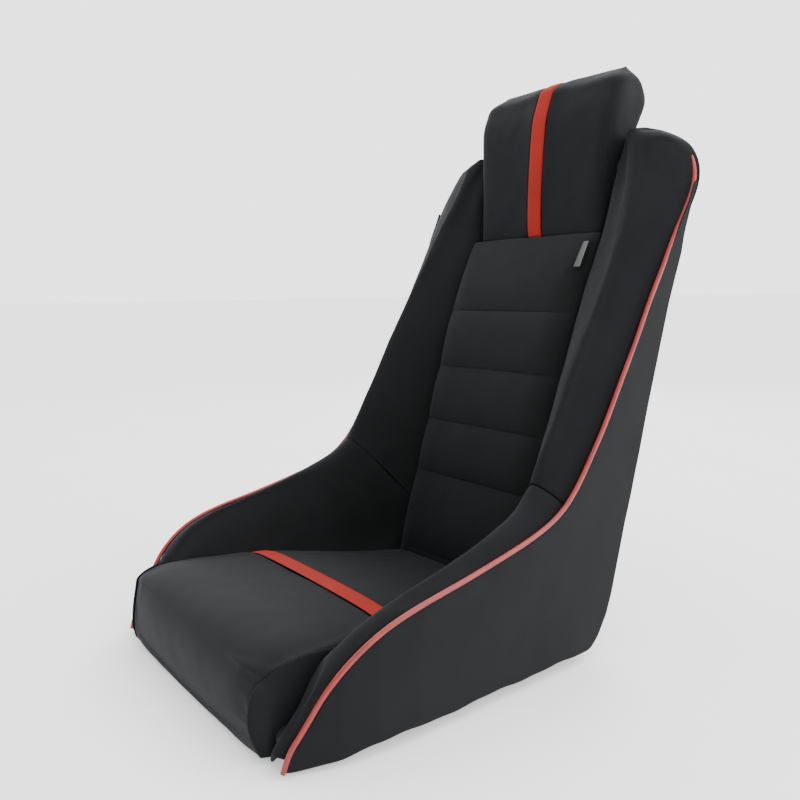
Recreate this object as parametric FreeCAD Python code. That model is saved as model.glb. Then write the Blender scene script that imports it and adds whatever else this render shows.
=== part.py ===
import FreeCAD, Part
import math
import os
from FreeCAD import Vector

os.makedirs("parts", exist_ok=True)

# Bucket seat for a competition car, built as a padded tube frame.
# Millimetres. The seat faces -Y, +Z is up, and x = 0 is its middle plane.
# z = 0 is the mounting face under the two rails, and the origin is the centre of the four
# mounting holes.

# ---- driving dimensions ----
LIP_Z = 14.0            # lower edge of the side panels above the mounting face
TUBE_R = 11.0           # frame tube, 22 mm outside
TUBE_WALL = 2.0
BASE_TUBE_Z = 27.0      # height of the base tubes' centre line
SIDE_TUBE_X = 248.5     # side tube from the middle plane at the hips
FRONT_TUBE_X = 216.5    # and at the narrower front
SIDE_TUBE_FRONT_Y = -226.0
TAPER_Y = -70.0         # the base tubes turn in towards the front from here
FRONT_CROSS_Y = -219.0
REAR_CROSS_Y = 165.0
LUMBAR_Z = 144.0
HOOP_HALF = 112.0       # head hoop, half its width
HOOP_TOP_Z = 800.0
RAIL_WIDTH = 40.0
RAIL_HEIGHT = 16.0
RAIL_WALL = 2.0
BOLT_X = 165.0          # mounting pattern, half its width
BOLT_Y = 145.0          # and half its depth
BOLT_HOLE_R = 4.25      # clearance for M8
NUT_BORE_R = 4.0
NUT_FLATS = 13.0
NUT_HEIGHT = 6.5
BOARD = 3.0             # hardboard
COVER = 2.0             # cloth with its thin backing
CLEAR = 0.4             # between foam, cloth and board
PIPING_R = 3.75
RIM_SETBACK = 5.5       # covers stop this far from the piping's centre
INSERT_HALF = 137.6     # half width of the fluted back panel
FLUTE_DEPTH = 8.0
STRIPE_HALF = 15.0
HEAD_TOP_Z = 850.0
REAR_Y0 = 267.5         # rear face at z = 0, in the middle
REAR_SLOPE = 0.272      # and how far it leans back per millimetre of height
EDGE_Y0 = 242.0         # rear edge of the side panels at z = 0
EDGE_SLOPE = 0.285
STRAP_SETBACK = 33.0    # back webbing in front of the rear face
WEBBING = 2.6

HIP_X = 265.0           # outer face of the side panels at the hips
SIDES = (("left", -1), ("right", 1))

# The rim, front to shoulder: x, y, z of the piping, tilt of the cross-section there in degrees
# (90 is upright), then crest x, crest rise, seam x and depth of the foam behind the rim.
RIM = [
    (232, -236, 20, 90, 216, 0, 207, 22),
    (235, -227, 34, 90, 218, 1, 206, 30),
    (240, -213, 56, 90, 221, 2, 205, 40),
    (246, -199, 80, 90, 225, 3, 204, 50),
    (254, -177, 108, 90, 229, 5, 202, 66),
    (262, -133, 140, 90, 234, 6, 199, 98),
    (265, -80, 158, 90, 235, 7, 192, 116),
    (265, -20, 170, 90, 233, 9, 184, 128),
    (265, 40, 183, 92, 231, 12, 174, 141),
    (265, 93, 196, 98, 227, 16, 164, 160),
    (265, 130, 208, 108, 223, 20, 154, 195),
    (265, 153, 219, 118, 219, 23, 147, 196),
    (265, 171, 232, 127, 217, 27, 142, 200),
    (265, 190, 251, 135, 215, 33, 139, 180),
    (265, 214, 283, 141, 213, 38, 138, 150),
    (265, 243, 325, 146, 212, 43, 138, 120),
    (265, 270, 371, 149, 211, 46, 138, 110),
    (265, 294, 412, 151, 211, 46, 138, 100),
    (265, 316, 451, 152, 213, 44, 138, 90),
    (265.5, 336, 490, 153, 216, 42, 138, 80),
    (267.5, 356, 529, 154, 218, 39, 138, 70),
    (271, 380, 580, 156, 215, 36, 138.5, 60),
    (276, 402, 626, 158, 207, 33, 140.5, 50),
    (276, 418, 660, 161, 199, 30, 142.5, 45),
    (266, 430, 692, 163, 191, 28, 144.5, 40),
    (247, 437, 717, 165, 183, 26, 146, 36),
    (222, 441, 732, 165, 173, 23, 147, 32),
    (192, 443, 742, 165, 162, 19, 148, 30),
]
ELBOW = 12              # station of the seam between thigh and back bolsters

# Fluted panel: y, z of its cross seams from the cushion up to the headrest.
FLUTES = [(212, 74), (250, 198), (276, 284), (303, 375), (332, 469), (388, 594)]
# and the line on which the bolsters meet it, carried on beside the headrest.
VALLEY = FLUTES + [(397, 626), (406, 660), (412, 692), (417, 720), (421, 745)]
# Top of the cushion, y and z, from the nose to its rear edge.
CUSHION_TOP = [(-256, 82), (-246, 103), (-222, 117), (-150, 117), (-60, 109), (50, 92), (120, 76),
               (196, 66)]
CUSHION_NOSE = [(-258, 60), (-254, 28), (-247, 7)]
CUSHION_FLOOR = [(196, 40), (150, 40), (150, 30), (-204, 30), (-204, 40), (-236, 40), (-236, 6)]
# Half plan of the cushion: x and y.
CUSHION_PLAN = [(172, -264), (196, -246), (198, -205), (196, -150), (188, -80), (180, -20),
                (170, 40), (161, 93), (152, 150), (144, 188), (138, 200)]
# Rear edge of the side panels where it isn't straight: z and y, low down and at the shoulder.
LOW_EDGE = [(14, 214), (19, 225), (32, 240), (57, 256), (90, 267.6)]
HIGH_EDGE = [(580, 402.5), (626, 411), (660, 427), (692, 439), (717, 446), (732, 450), (742, 452)]
# Headrest: height, half width, front y.
HEAD_SECTIONS = [(594, 137.5, 388), (660, 140, 389), (716, 143, 392), (771, 150, 397),
                 (799, 152, 403), (822, 150, 412), (840, 143, 424), (850, 127, 444)]


# ---- helpers ----
def mirrored(shape):
    return shape.mirror(Vector(0, 0, 0), Vector(1, 0, 0))


def largest(shape):
    """The tube itself, without the slivers that coping its end leaves behind."""
    return max(shape.Solids, key=lambda solid: solid.Volume)


def box(x0, x1, y0, y1, z0, z1):
    return Part.makeBox(x1 - x0, y1 - y0, z1 - z0, Vector(x0, y0, z0))


def rounded_path(points, radius=None):
    """Straight runs joined by tangent arcs; without a radius each arc is as large as fits."""
    nodes = [Vector(*p) for p in points]
    edges = []
    start = nodes[0]
    for before, here, after in zip(nodes, nodes[1:], nodes[2:]):
        back = before - here
        on = after - here
        half = back.getAngle(on) / 2
        if half > math.radians(89.7):
            continue
        reach = 0.45 * min(back.Length, on.Length)
        if radius:
            reach = min(reach, radius / math.tan(half))
        bend = reach * math.tan(half)
        back.normalize()
        on.normalize()
        middle = (back + on).normalize() * (bend / math.sin(half) - bend)
        edges.append(Part.LineSegment(start, here + back * reach).toShape())
        edges.append(Part.Arc(here + back * reach, here + middle, here + on * reach).toShape())
        start = here + on * reach
    edges.append(Part.LineSegment(start, nodes[-1]).toShape())
    return Part.Wire(edges)


def sweep(path, radius):
    first = path.OrderedEdges[0]
    ring = Part.makeCircle(radius, first.valueAt(first.FirstParameter),
                           first.tangentAt(first.FirstParameter))
    return path.makePipeShell([Part.Wire(ring)], True, False)


def tube(points, radius=None):
    path = rounded_path(points, radius)
    return sweep(path, TUBE_R).cut(sweep(path, TUBE_R - TUBE_WALL))


def rod(points, size=TUBE_R, radius=None):
    return sweep(rounded_path(points, radius), size)


def spline(points):
    curve = Part.BSplineCurve()
    curve.interpolate([Vector(*p) for p in points])
    return curve.toShape()


def polygon(points):
    ring = [Vector(*p) for p in points]
    return Part.makePolygon(ring + ring[:1])


def prism(points, direction):
    return Part.Face(polygon(points)).extrude(direction)


def line_y(points, z):
    """y on a broken line of (y, z) points at height z."""
    for (y0, z0), (y1, z1) in zip(points, points[1:]):
        if z <= z1:
            return y0 + (y1 - y0) * (z - z0) / (z1 - z0)
    (y0, z0), (y1, z1) = points[-2:]
    return y0 + (y1 - y0) * (z - z0) / (z1 - z0)


def inset_line(points, inset):
    """Open line of points moved to the right of its direction."""
    moved = []
    last = len(points) - 1
    for i, (a, b) in enumerate(points):
        a0, b0 = points[max(i - 1, 0)]
        a1, b1 = points[min(i + 1, last)]
        length = math.hypot(a1 - a0, b1 - b0)
        moved.append((a + inset * (b1 - b0) / length, b - inset * (a1 - a0) / length))
    return moved


def cushion_z(y):
    """Height of the cushion's top at depth y."""
    return line_y([(z, y) for y, z in CUSHION_TOP], y)


def rear_y(z):
    return REAR_Y0 + REAR_SLOPE * z


def edge_y(z):
    """Rear edge of the side panels; it is rounded at the foot and follows the shoulder on top."""
    if z < LOW_EDGE[-1][0]:
        return line_y([(y, height) for height, y in LOW_EDGE], z)
    if z > HIGH_EDGE[0][0]:
        return line_y([(y, height) for height, y in HIGH_EDGE], z)
    return min(EDGE_Y0 + EDGE_SLOPE * z, HIGH_EDGE[0][1])


# ---- bolster sections ----
def place(station, x, v):
    """Point of a cross-section: x across, v along its tilt from the piping's centre."""
    tilt = math.radians(station[3])
    return (x, station[1] + v * math.cos(tilt), station[2] + v * math.sin(tilt))


def seam_depth(index):
    """How far the seam against the cushion or the fluted panel lies behind the rim."""
    station = RIM[index]
    if index < 8:
        return min(cushion_z(station[1]) - 3 - station[2], station[5] - 14)
    near, depth = station[5] - 12.0, -230.0
    for _ in range(40):
        middle = (near + depth) / 2
        _, y, z = place(station, 0, middle)
        if y > line_y(VALLEY, z) - 2 or z < cushion_z(y) - 3:
            depth = middle
        else:
            near = middle
    return depth


def setback(index):
    """Distance in x from the piping's centre; longer where the rim turns over the shoulder."""
    x0, _, z0, *_ = RIM[max(index - 1, 0)]
    x1, _, z1, *_ = RIM[min(index + 1, len(RIM) - 1)]
    if index < ELBOW:
        return RIM_SETBACK
    return RIM_SETBACK * math.hypot(x1 - x0, z1 - z0) / (z1 - z0)


def skin_points(index, inset):
    """Cushion side of a bolster, rim to seam, moved inwards by an inset."""
    rim_x, _, _, _, crest_x, rise, seam_x, _ = RIM[index]
    depth = seam_depth(index)
    wall = crest_x - seam_x
    drop = rise - depth
    first_x = rim_x - setback(index)
    outline = [
        (first_x, -1.5),
        (0.45 * first_x + 0.55 * crest_x, 0.72 * rise + 1.0),
        (crest_x, rise),
        (crest_x - 0.30 * wall, rise - 0.16 * drop),
        (crest_x - 0.66 * wall, rise - 0.52 * drop),
        (seam_x + 0.5, depth),
    ]
    moved = []
    last = len(outline) - 1
    for i, (x, v) in enumerate(outline):
        ax, av = outline[max(i - 1, 0)]
        bx, bv = outline[min(i + 1, last)]
        length = math.hypot(bx - ax, bv - av)
        moved.append((x + inset * (av - bv) / length, v + inset * (bx - ax) / length))
    if inset:
        moved[0] = (first_x, -1.5 - inset)
        moved[last] = (seam_x + 0.5 + inset, depth)
    return moved


def band(index, outer, inner, tuck):
    """Closed thin section of cloth between two insets, tucked down beside the seam."""
    station = RIM[index]
    tuck = min(tuck, place(station, 0, seam_depth(index))[2] - 4)
    top = skin_points(index, outer)
    under = skin_points(index, inner)
    top_end = (top[-1][0], top[-1][1] - tuck)
    under_end = (under[-1][0], under[-1][1] - tuck)
    at = lambda p: place(station, *p)
    return Part.Wire([
        spline([at(p) for p in top]),
        Part.makeLine(Vector(*at(top[-1])), Vector(*at(top_end))),
        Part.makeLine(Vector(*at(top_end)), Vector(*at(under_end))),
        Part.makeLine(Vector(*at(under_end)), Vector(*at(under[-1]))),
        spline([at(p) for p in reversed(under)]),
        Part.makeLine(Vector(*at(under[0])), Vector(*at(top[0]))),
    ])


def pad(index, inset):
    """Closed section of the foam under the cloth."""
    station = RIM[index]
    top = skin_points(index, inset)
    top[0] = (top[0][0] - 1.2, top[0][1])
    floor = -station[7]
    corners = [top[-1], (top[-1][0], floor), (top[0][0] - 0.8, floor), top[0]]
    at = lambda p: Vector(*place(station, *p))
    edges = [spline([place(station, *p) for p in top])]
    edges += [Part.makeLine(at(a), at(b)) for a, b in zip(corners, corners[1:])]
    return Part.Wire(edges)


def behind(setback, z0, z1):
    """Everything behind a plane that lies in front of the rear face."""
    return prism([(-400, rear_y(z0) - setback, z0), (-400, rear_y(z1) - setback, z1),
                  (-400, 900, z1), (-400, 900, z0)], Vector(800, 0, 0))


def bolster(first, last, frame):
    foam = Part.makeLoft([pad(i, COVER + CLEAR) for i in range(first, last + 1)], True, False)
    foam = foam.cut(behind(STRAP_SETBACK + 1, -10, 900))
    foam = foam.cut(box(100, 300, -300, 400, -20, 42))
    for member in frame:
        foam = foam.cut(member)
    return max(foam.Solids, key=lambda solid: solid.Volume)


def bolster_cover(first, last, frame):
    cloth = Part.makeLoft([band(i, 0, COVER, 16) for i in range(first, last + 1)], True, False)
    for member in frame:
        cloth = cloth.cut(member)
    return max(cloth.Solids, key=lambda solid: solid.Volume)


# ---- frame ----
def side_tube_path():
    """One tube bent up at the rear corner and turned in to meet the rim tube."""
    corner_y = EDGE_Y0 - 15 + EDGE_SLOPE * BASE_TUBE_Z
    top = 430.0
    return [(FRONT_TUBE_X, SIDE_TUBE_FRONT_Y, BASE_TUBE_Z), (SIDE_TUBE_X, TAPER_Y, BASE_TUBE_Z),
            (SIDE_TUBE_X, corner_y, BASE_TUBE_Z),
            (SIDE_TUBE_X, EDGE_Y0 - 15 + EDGE_SLOPE * top, top), (SIDE_TUBE_X - 0.5, 333, 476)]


def rim_tube_path():
    """Follows the piping 18 mm inside it, then crosses the shoulder to the head hoop."""
    path = [(FRONT_TUBE_X + 2, SIDE_TUBE_FRONT_Y + 18, BASE_TUBE_Z + 8)]
    for index in (4, 5, 6, 7, 8, 9, 10, 12, 14, 15, 16, 18, 20):
        x, y, z = place(RIM[index], RIM[index][0] - RIM_SETBACK - TUBE_R - 1, -18)
        path.append((x, y, z))
    return path + [(250, 389, 580), (240, 406, 626), (216, 421, 664), (178, 438, 690),
                   (HOOP_HALF + 3, rear_y(699) - 18.5, 699)]


def hoop_path():
    def at(x, z):
        return (x, rear_y(z) - 18.5, z)
    return [at(-HOOP_HALF, LUMBAR_Z), at(-HOOP_HALF, HOOP_TOP_Z), at(HOOP_HALF, HOOP_TOP_Z),
            at(HOOP_HALF, LUMBAR_Z)]


def lumbar_path():
    side_y = EDGE_Y0 - 15 + EDGE_SLOPE * LUMBAR_Z
    centre_y = rear_y(LUMBAR_Z) - 18.5
    return [(2 - SIDE_TUBE_X, side_y, LUMBAR_Z), (-150, centre_y, LUMBAR_Z),
            (150, centre_y, LUMBAR_Z), (SIDE_TUBE_X - 2, side_y, LUMBAR_Z)]


def make_frame():
    parts = {}
    side_rod = rod(side_tube_path(), radius=60)
    rim_rod = rod(rim_tube_path())
    hoop_rod = rod(hoop_path(), radius=58)
    lumbar_rod = rod(lumbar_path(), radius=70)
    side = largest(tube(side_tube_path(), 60).cut(rim_rod))
    rim = largest(tube(rim_tube_path()).cut(side_rod_front(side_tube_path())).cut(hoop_rod))
    parts["tube_side_right"] = side
    parts["tube_side_left"] = mirrored(side)
    parts["tube_rim_right"] = rim
    parts["tube_rim_left"] = mirrored(rim)
    sides = side_rod.fuse(mirrored(side_rod))
    parts["tube_lumbar"] = largest(tube(lumbar_path(), 70).cut(side_rod).cut(mirrored(side_rod)))
    parts["tube_head_hoop"] = tube(hoop_path(), 58).cut(lumbar_rod)
    for name, y, half in (("tube_cross_front", FRONT_CROSS_Y, FRONT_TUBE_X),
                          ("tube_cross_rear", REAR_CROSS_Y, SIDE_TUBE_X)):
        ends = [(-half, y, BASE_TUBE_Z), (half, y, BASE_TUBE_Z)]
        parts[name] = straight_tube(ends).cut(sides)
    z = 640.0
    ends = [(-HOOP_HALF, rear_y(z) - 18.5, z), (HOOP_HALF, rear_y(z) - 18.5, z)]
    parts["tube_cross_head"] = straight_tube(ends).cut(hoop_rod)
    clearance = [rod(side_tube_path(), TUBE_R + 2.3, 60), rod(rim_tube_path(), TUBE_R + 0.5),
                 rod(hoop_path(), TUBE_R + 0.5, 58), rod(lumbar_path(), TUBE_R + 0.5, 70),
                 cross_space(ends), cross_space([(-300, FRONT_CROSS_Y, BASE_TUBE_Z),
                                                 (300, FRONT_CROSS_Y, BASE_TUBE_Z)])]
    return parts, clearance


def cross_space(ends):
    """Room that the padding leaves around a cross tube."""
    start, end = (Vector(*p) for p in ends)
    return Part.makeCylinder(TUBE_R + 0.5, (end - start).Length, start, end - start)


def side_rod_front(path):
    """Solid bar along the base run only, to notch the rim tube's lower end."""
    return sweep(rounded_path(path[:3], 60), TUBE_R)


def straight_tube(ends):
    start, end = (Vector(*p) for p in ends)
    run = end - start
    outer = Part.makeCylinder(TUBE_R, run.Length, start, run)
    return outer.cut(Part.makeCylinder(TUBE_R - TUBE_WALL, run.Length, start, run))


def make_rails():
    parts = {}
    front = FRONT_CROSS_Y - TUBE_R
    rear = REAR_CROSS_Y + TUBE_R
    for name, sign in SIDES:
        x = sign * BOLT_X
        rail = box(x - RAIL_WIDTH / 2, x + RAIL_WIDTH / 2, front, rear, 0, RAIL_HEIGHT)
        inside = RAIL_WIDTH / 2 - RAIL_WALL
        rail = rail.cut(box(x - inside, x + inside, front - 1, rear + 1, RAIL_WALL,
                            RAIL_HEIGHT - RAIL_WALL))
        for y in (-BOLT_Y, BOLT_Y):
            rail = rail.cut(Part.makeCylinder(BOLT_HOLE_R, 30, Vector(x, y, -5)))
        parts["rail_mount_" + name] = rail
    nuts = []
    for x in (-BOLT_X, BOLT_X):
        for y in (-BOLT_Y, BOLT_Y):
            nuts.append(weld_nut(x, y, RAIL_HEIGHT))
    parts["nuts_mount"] = Part.makeCompound(nuts)
    return parts


def weld_nut(x, y, z):
    radius = NUT_FLATS / math.sqrt(3)
    corners = []
    for i in range(6):
        turn = math.radians(60 * i)
        corners.append((x + radius * math.cos(turn), y + radius * math.sin(turn), z))
    blank = prism(corners, Vector(0, 0, NUT_HEIGHT))
    return blank.cut(Part.makeCylinder(NUT_BORE_R, NUT_HEIGHT + 2, Vector(x, y, z - 1)))


# ---- webbing ----
def tube_x(y):
    """Centre of the side tube at depth y."""
    if y > TAPER_Y:
        return SIDE_TUBE_X
    share = (TAPER_Y - y) / (TAPER_Y - SIDE_TUBE_FRONT_Y)
    return SIDE_TUBE_X + (FRONT_TUBE_X - SIDE_TUBE_X) * share


def hook(gauge=1.5):
    """Sheet hook that grips a tube from its inner side: profile in x and z about the tube."""
    inner = TUBE_R + 0.3
    outer = inner + gauge
    ring = Part.makeCylinder(outer, 36, Vector(0, -18, 0), Vector(0, 1, 0))
    ring = ring.cut(Part.makeCylinder(inner, 38, Vector(0, -19, 0), Vector(0, 1, 0)))
    keep = prism([(0, -20, 0), (-40, -20, -12), (-40, -20, 40), (9, -20, 40)], Vector(0, 40, 0))
    return ring.common(keep)


def make_webbing():
    parts = {}
    bands, hooks = [], []
    for y in (-165, -88, -18, 52, 118):
        half = tube_x(y - 24) - TUBE_R - 2
        bands.append(box(-half, half, y - 24, y + 24, BASE_TUBE_Z, BASE_TUBE_Z + WEBBING))
        for sign in (-1, 1):
            piece = hook()
            if sign < 0:
                piece = mirrored(piece)
            piece.translate(Vector(sign * tube_x(y), y, BASE_TUBE_Z))
            if y < TAPER_Y:
                slope = (SIDE_TUBE_X - FRONT_TUBE_X) / (TAPER_Y - SIDE_TUBE_FRONT_Y)
                piece.rotate(Vector(sign * tube_x(y), y, BASE_TUBE_Z), Vector(0, 0, 1),
                             -sign * math.degrees(math.atan(slope)))
            hooks.append(piece)
    parts["straps_seat"] = Part.makeCompound(bands)
    parts["hooks_seat"] = Part.makeCompound(hooks)
    lean = math.degrees(math.atan(REAR_SLOPE))
    half = SIDE_TUBE_X - TUBE_R - 2
    bands = []
    for z in (205, 270, 335, 400):
        strip = box(-half, half, 0, WEBBING, -20, 20)
        strip.rotate(Vector(0, 0, 0), Vector(1, 0, 0), -lean)
        strip.translate(Vector(0, rear_y(z) - STRAP_SETBACK, z))
        bands.append(strip)
    parts["straps_back"] = Part.makeCompound(bands)
    hooks = []
    for z in (205, 270, 335, 400):
        for sign in (-1, 1):
            piece = hook()
            piece.rotate(Vector(0, 0, 0), Vector(1, 0, 0), 90)
            if sign < 0:
                piece = mirrored(piece)
            piece.rotate(Vector(0, 0, 0), Vector(1, 0, 0), -math.degrees(math.atan(EDGE_SLOPE)))
            piece.translate(Vector(sign * SIDE_TUBE_X, EDGE_Y0 - 15 + EDGE_SLOPE * z, z))
            hooks.append(piece)
    parts["hooks_back"] = Part.makeCompound(hooks)
    return parts


# ---- boards ----
def wall(inner, outer):
    """Upright shell along the right side, between two depths inside the piping's line."""
    front = [(x, y) for x, y, *_ in RIM[:7]]
    lower = [(front[0][0] - 7, front[0][1] - 17)] + front
    plan = [(x - outer, y, 0) for x, y in lower] + [(HIP_X - outer, 460, 0)]
    plan += [(HIP_X - inner, 460, 0)] + [(x - inner, y, 0) for x, y in reversed(lower)]
    base = prism(plan, Vector(0, 0, RIM[16][2]))
    flare = [(x, z) for x, _, z, *_ in RIM[16:24]]
    rise = [(x - outer, 100, z) for x, z in flare]
    rise += [(x - inner, 100, z) for x, z in reversed(flare)]
    return base.fuse(prism(rise, Vector(0, 400, 0))).removeSplitter()


def side_outline(inset):
    """Outline of a side panel, kept inside the piping and the rear cover."""
    rim = inset_line([station[1:3] for station in RIM[1:23]], inset)
    top = [(100, y, z) for y, z in rim]
    start = (100, RIM[0][1] + inset + 1, LIP_Z + inset - 5)
    heel = [(100, edge_y(z) - inset + 2, z) for z in (600, 580, 90, 57, 32, 19)]
    foot = (100, LOW_EDGE[0][1] - inset, LIP_Z + inset - 5)
    edges = [Part.makeLine(Vector(*start), Vector(*top[0])), spline(top)]
    corners = [top[-1]] + heel + [foot, start]
    edges += [Part.makeLine(Vector(*a), Vector(*b)) for a, b in zip(corners, corners[1:])]
    return Part.Face(Part.Wire(edges)).extrude(Vector(250, 0, 0))


def rivet_places():
    low = [(-150, BASE_TUBE_Z), (-70, BASE_TUBE_Z), (10, BASE_TUBE_Z), (90, BASE_TUBE_Z),
           (160, BASE_TUBE_Z)]
    high = [(EDGE_Y0 - 15 + EDGE_SLOPE * z, z) for z in (130, 210, 290, 370)]
    return [spot for spot in low + high if spot[0] > -60]


def make_sides():
    parts = {}
    cloth = wall(0.5, 2.0).common(side_outline(6.6))
    board = wall(2.3, 5.3).common(side_outline(8))
    rivets = []
    for y, z in rivet_places():
        hole = Part.makeCylinder(2.6, 20, Vector(HIP_X - 15, y, z), Vector(1, 0, 0))
        board = board.cut(hole)
        rivets.append(Part.makeCylinder(2.5, 3.1, Vector(HIP_X - 5.45, y, z), Vector(1, 0, 0)))
    parts["cover_side_right"] = cloth
    parts["cover_side_left"] = mirrored(cloth)
    parts["board_side_right"] = board
    parts["board_side_left"] = mirrored(board)
    group = Part.makeCompound(rivets)
    parts["rivets_boards"] = Part.makeCompound(rivets + mirrored(group).Solids)
    z0, z1 = 80.0, 730.0
    front, rear = COVER + 1.4 + BOARD, COVER + 1.4
    parts["board_back"] = prism(
        [(-150, rear_y(z0) - front, z0), (-150, rear_y(z0) - rear, z0),
         (-150, rear_y(z1) - rear, z1), (-150, rear_y(z1) - front, z1)], Vector(300, 0, 0))
    return parts


def rim_x(z):
    """Half width of the seat at the rear edge."""
    points = [(x, height) for x, _, height, *_ in RIM[16:]]
    return HIP_X if z <= points[0][1] else line_y(points, z)


def rear_section(z):
    half = rim_x(z) - 0.5
    edge = edge_y(z)
    middle = min(rear_y(z), edge + 28)
    bow = middle - edge
    right = [(half, edge), (half - 22, edge + 0.32 * bow), (150 + 0.35 * (half - 150),
             edge + 0.84 * bow), (138, middle)]
    across = [(-x, y) for x, y in right] + [(0, middle + 1)] + right[::-1]
    outer = [(x, y, z) for x, y in across]
    inner = [(x, y - COVER, z) for x, y in across]
    return Part.Wire([
        spline(outer),
        Part.makeLine(Vector(*outer[-1]), Vector(*inner[-1])),
        spline(inner[::-1]),
        Part.makeLine(Vector(*inner[0]), Vector(*outer[0])),
    ])


def make_rear_cover():
    heights = (15, 20, 32, 57, 90, 170, 260, 350, 440, 520, 580, 626, 660, 692, 717, 732, 742)
    return Part.makeLoft([rear_section(z) for z in heights], True, False)


# ---- back panel and headrest ----
def flute_edges(shift, x):
    """Scalloped front line, bulging between its cross seams, moved back by a shift."""
    edges = []
    lean = math.hypot(1, REAR_SLOPE)
    dy, dz = shift / lean, -shift * REAR_SLOPE / lean
    start = (FLUTES[0][0] - 8, FLUTES[0][1] - 26)
    edges.append(Part.makeLine(Vector(x, start[0] + dy, start[1] + dz),
                               Vector(x, FLUTES[0][0] + dy, FLUTES[0][1] + dz)))
    for (y0, z0), (y1, z1) in zip(FLUTES, FLUTES[1:]):
        run = math.hypot(y1 - y0, z1 - z0)
        out_y = -FLUTE_DEPTH * (z1 - z0) / run
        out_z = FLUTE_DEPTH * (y1 - y0) / run
        middle = Vector(x, (y0 + y1) / 2 + out_y + dy, (z0 + z1) / 2 + out_z + dz)
        edges.append(Part.Arc(Vector(x, y0 + dy, z0 + dz), middle,
                              Vector(x, y1 + dy, z1 + dz)).toShape())
    return edges


def make_backrest(frame):
    parts = {}
    half = INSERT_HALF
    front = flute_edges(0, -half)
    rear = flute_edges(COVER, -half)
    ends = [(e[0].Vertexes[0].Point, e[-1].Vertexes[-1].Point) for e in (front, rear)]
    closing = [Part.makeLine(ends[0][0], ends[1][0]), Part.makeLine(ends[0][1], ends[1][1])]
    strip = Part.Wire(Part.__sortEdges__(front + rear + closing))
    parts["cover_backrest"] = Part.Face(strip).extrude(Vector(2 * half, 0, 0))
    half = INSERT_HALF - 0.6
    face = flute_edges(COVER + CLEAR, -half)
    low = face[0].Vertexes[0].Point
    top = face[-1].Vertexes[-1].Point
    setback = STRAP_SETBACK + 0.6
    back = [Vector(-half, rear_y(low.z) - setback, low.z), Vector(-half, rear_y(430) - setback, 430),
            Vector(-half, rear_y(top.z) - 16, top.z)]
    lines = [Part.makeLine(a, b) for a, b in zip([low] + back, back + [top])]
    foam = Part.Face(Part.Wire(Part.__sortEdges__(face + lines))).extrude(Vector(2 * half, 0, 0))
    for member in frame:
        foam = foam.cut(member)
    parts["foam_backrest"] = max(foam.Solids, key=lambda solid: solid.Volume)
    tag = box(-7.5, 7.5, -0.4, 0.4, -23, 23)
    tag.rotate(Vector(0, 0, 0), Vector(1, 0, 0), -29)
    tag.translate(Vector(128, 359.8, 553))
    parts["tag_blank"] = tag
    return parts


def rounded_section(z, half, front, rear, radius):
    """Rounded rectangle in plan."""
    r = radius
    k = r * (1 - math.sqrt(0.5))
    at = lambda x, y: Vector(x, y, z)
    corners = [
        (at(-half, rear - r), at(-half, front + r), at(-half + k, front + k), at(-half + r, front)),
        (at(-half + r, front), at(half - r, front), at(half - k, front + k), at(half, front + r)),
        (at(half, front + r), at(half, rear - r), at(half - k, rear - k), at(half - r, rear)),
        (at(half - r, rear), at(-half + r, rear), at(-half + k, rear - k), at(-half, rear - r)),
    ]
    edges = []
    for start, turn, middle, end in corners:
        edges.append(Part.makeLine(start, turn))
        edges.append(Part.Arc(turn, middle, end).toShape())
    return Part.Wire(edges)


def head_block(inset):
    sections = []
    for z, half, front in HEAD_SECTIONS:
        rear = min(rear_y(z), 490 - 0.045 * max(0, z - 790) ** 1.5)
        radius = min(20, 0.4 * (rear - front)) - 0.5 * inset
        height = min(z, HEAD_TOP_Z - inset)
        sections.append(rounded_section(height, half - inset, front + inset, rear - inset, radius))
    return Part.makeLoft(sections, True, True)


def make_headrest(frame):
    parts = {}
    shell = head_block(0).cut(head_block(COVER))
    base_z, shoulder_z = 580.0, 748.0
    shell = shell.cut(behind(34, base_z, shoulder_z))
    gap = 0.15
    parts["stripe_headrest"] = shell.common(box(-STRIPE_HALF, STRIPE_HALF, 300, 600, 500, 900))
    right = shell.common(box(STRIPE_HALF + gap, 200, 300, 600, 500, 900))
    parts["cover_headrest_right"] = right
    parts["cover_headrest_left"] = mirrored(right)
    foam = head_block(COVER + CLEAR).cut(behind(7.2, base_z, shoulder_z + 2))
    for member in frame:
        foam = foam.cut(member)
    parts["foam_headrest"] = max(foam.Solids, key=lambda solid: solid.Volume)
    return parts


# ---- cushion ----
def cushion_side(inset, half=300):
    """Side profile of the cushion drawn across the seat."""
    skin = inset_line(CUSHION_NOSE[::-1] + CUSHION_TOP, inset)
    skin[0] = (skin[0][0], CUSHION_FLOOR[-1][1])
    skin[-1] = (CUSHION_TOP[-1][0] - inset, CUSHION_TOP[-1][1] - inset)
    floor = [(y - inset if y > 190 else y, z) for y, z in CUSHION_FLOOR]
    corners = [skin[-1]] + floor + [skin[0]]
    at = lambda p: Vector(-half, p[0], p[1])
    edges = [spline([(-half, y, z) for y, z in skin])]
    edges += [Part.makeLine(at(a), at(b)) for a, b in zip(corners, corners[1:])]
    return Part.Face(Part.Wire(edges)).extrude(Vector(2 * half, 0, 0))


def cushion_plan(inset):
    right = [(x - 1.02 * inset, y, -50) for x, y in CUSHION_PLAN]
    return prism(right + [(-x, y, z) for x, y, z in reversed(right)], Vector(0, 0, 300))


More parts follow.
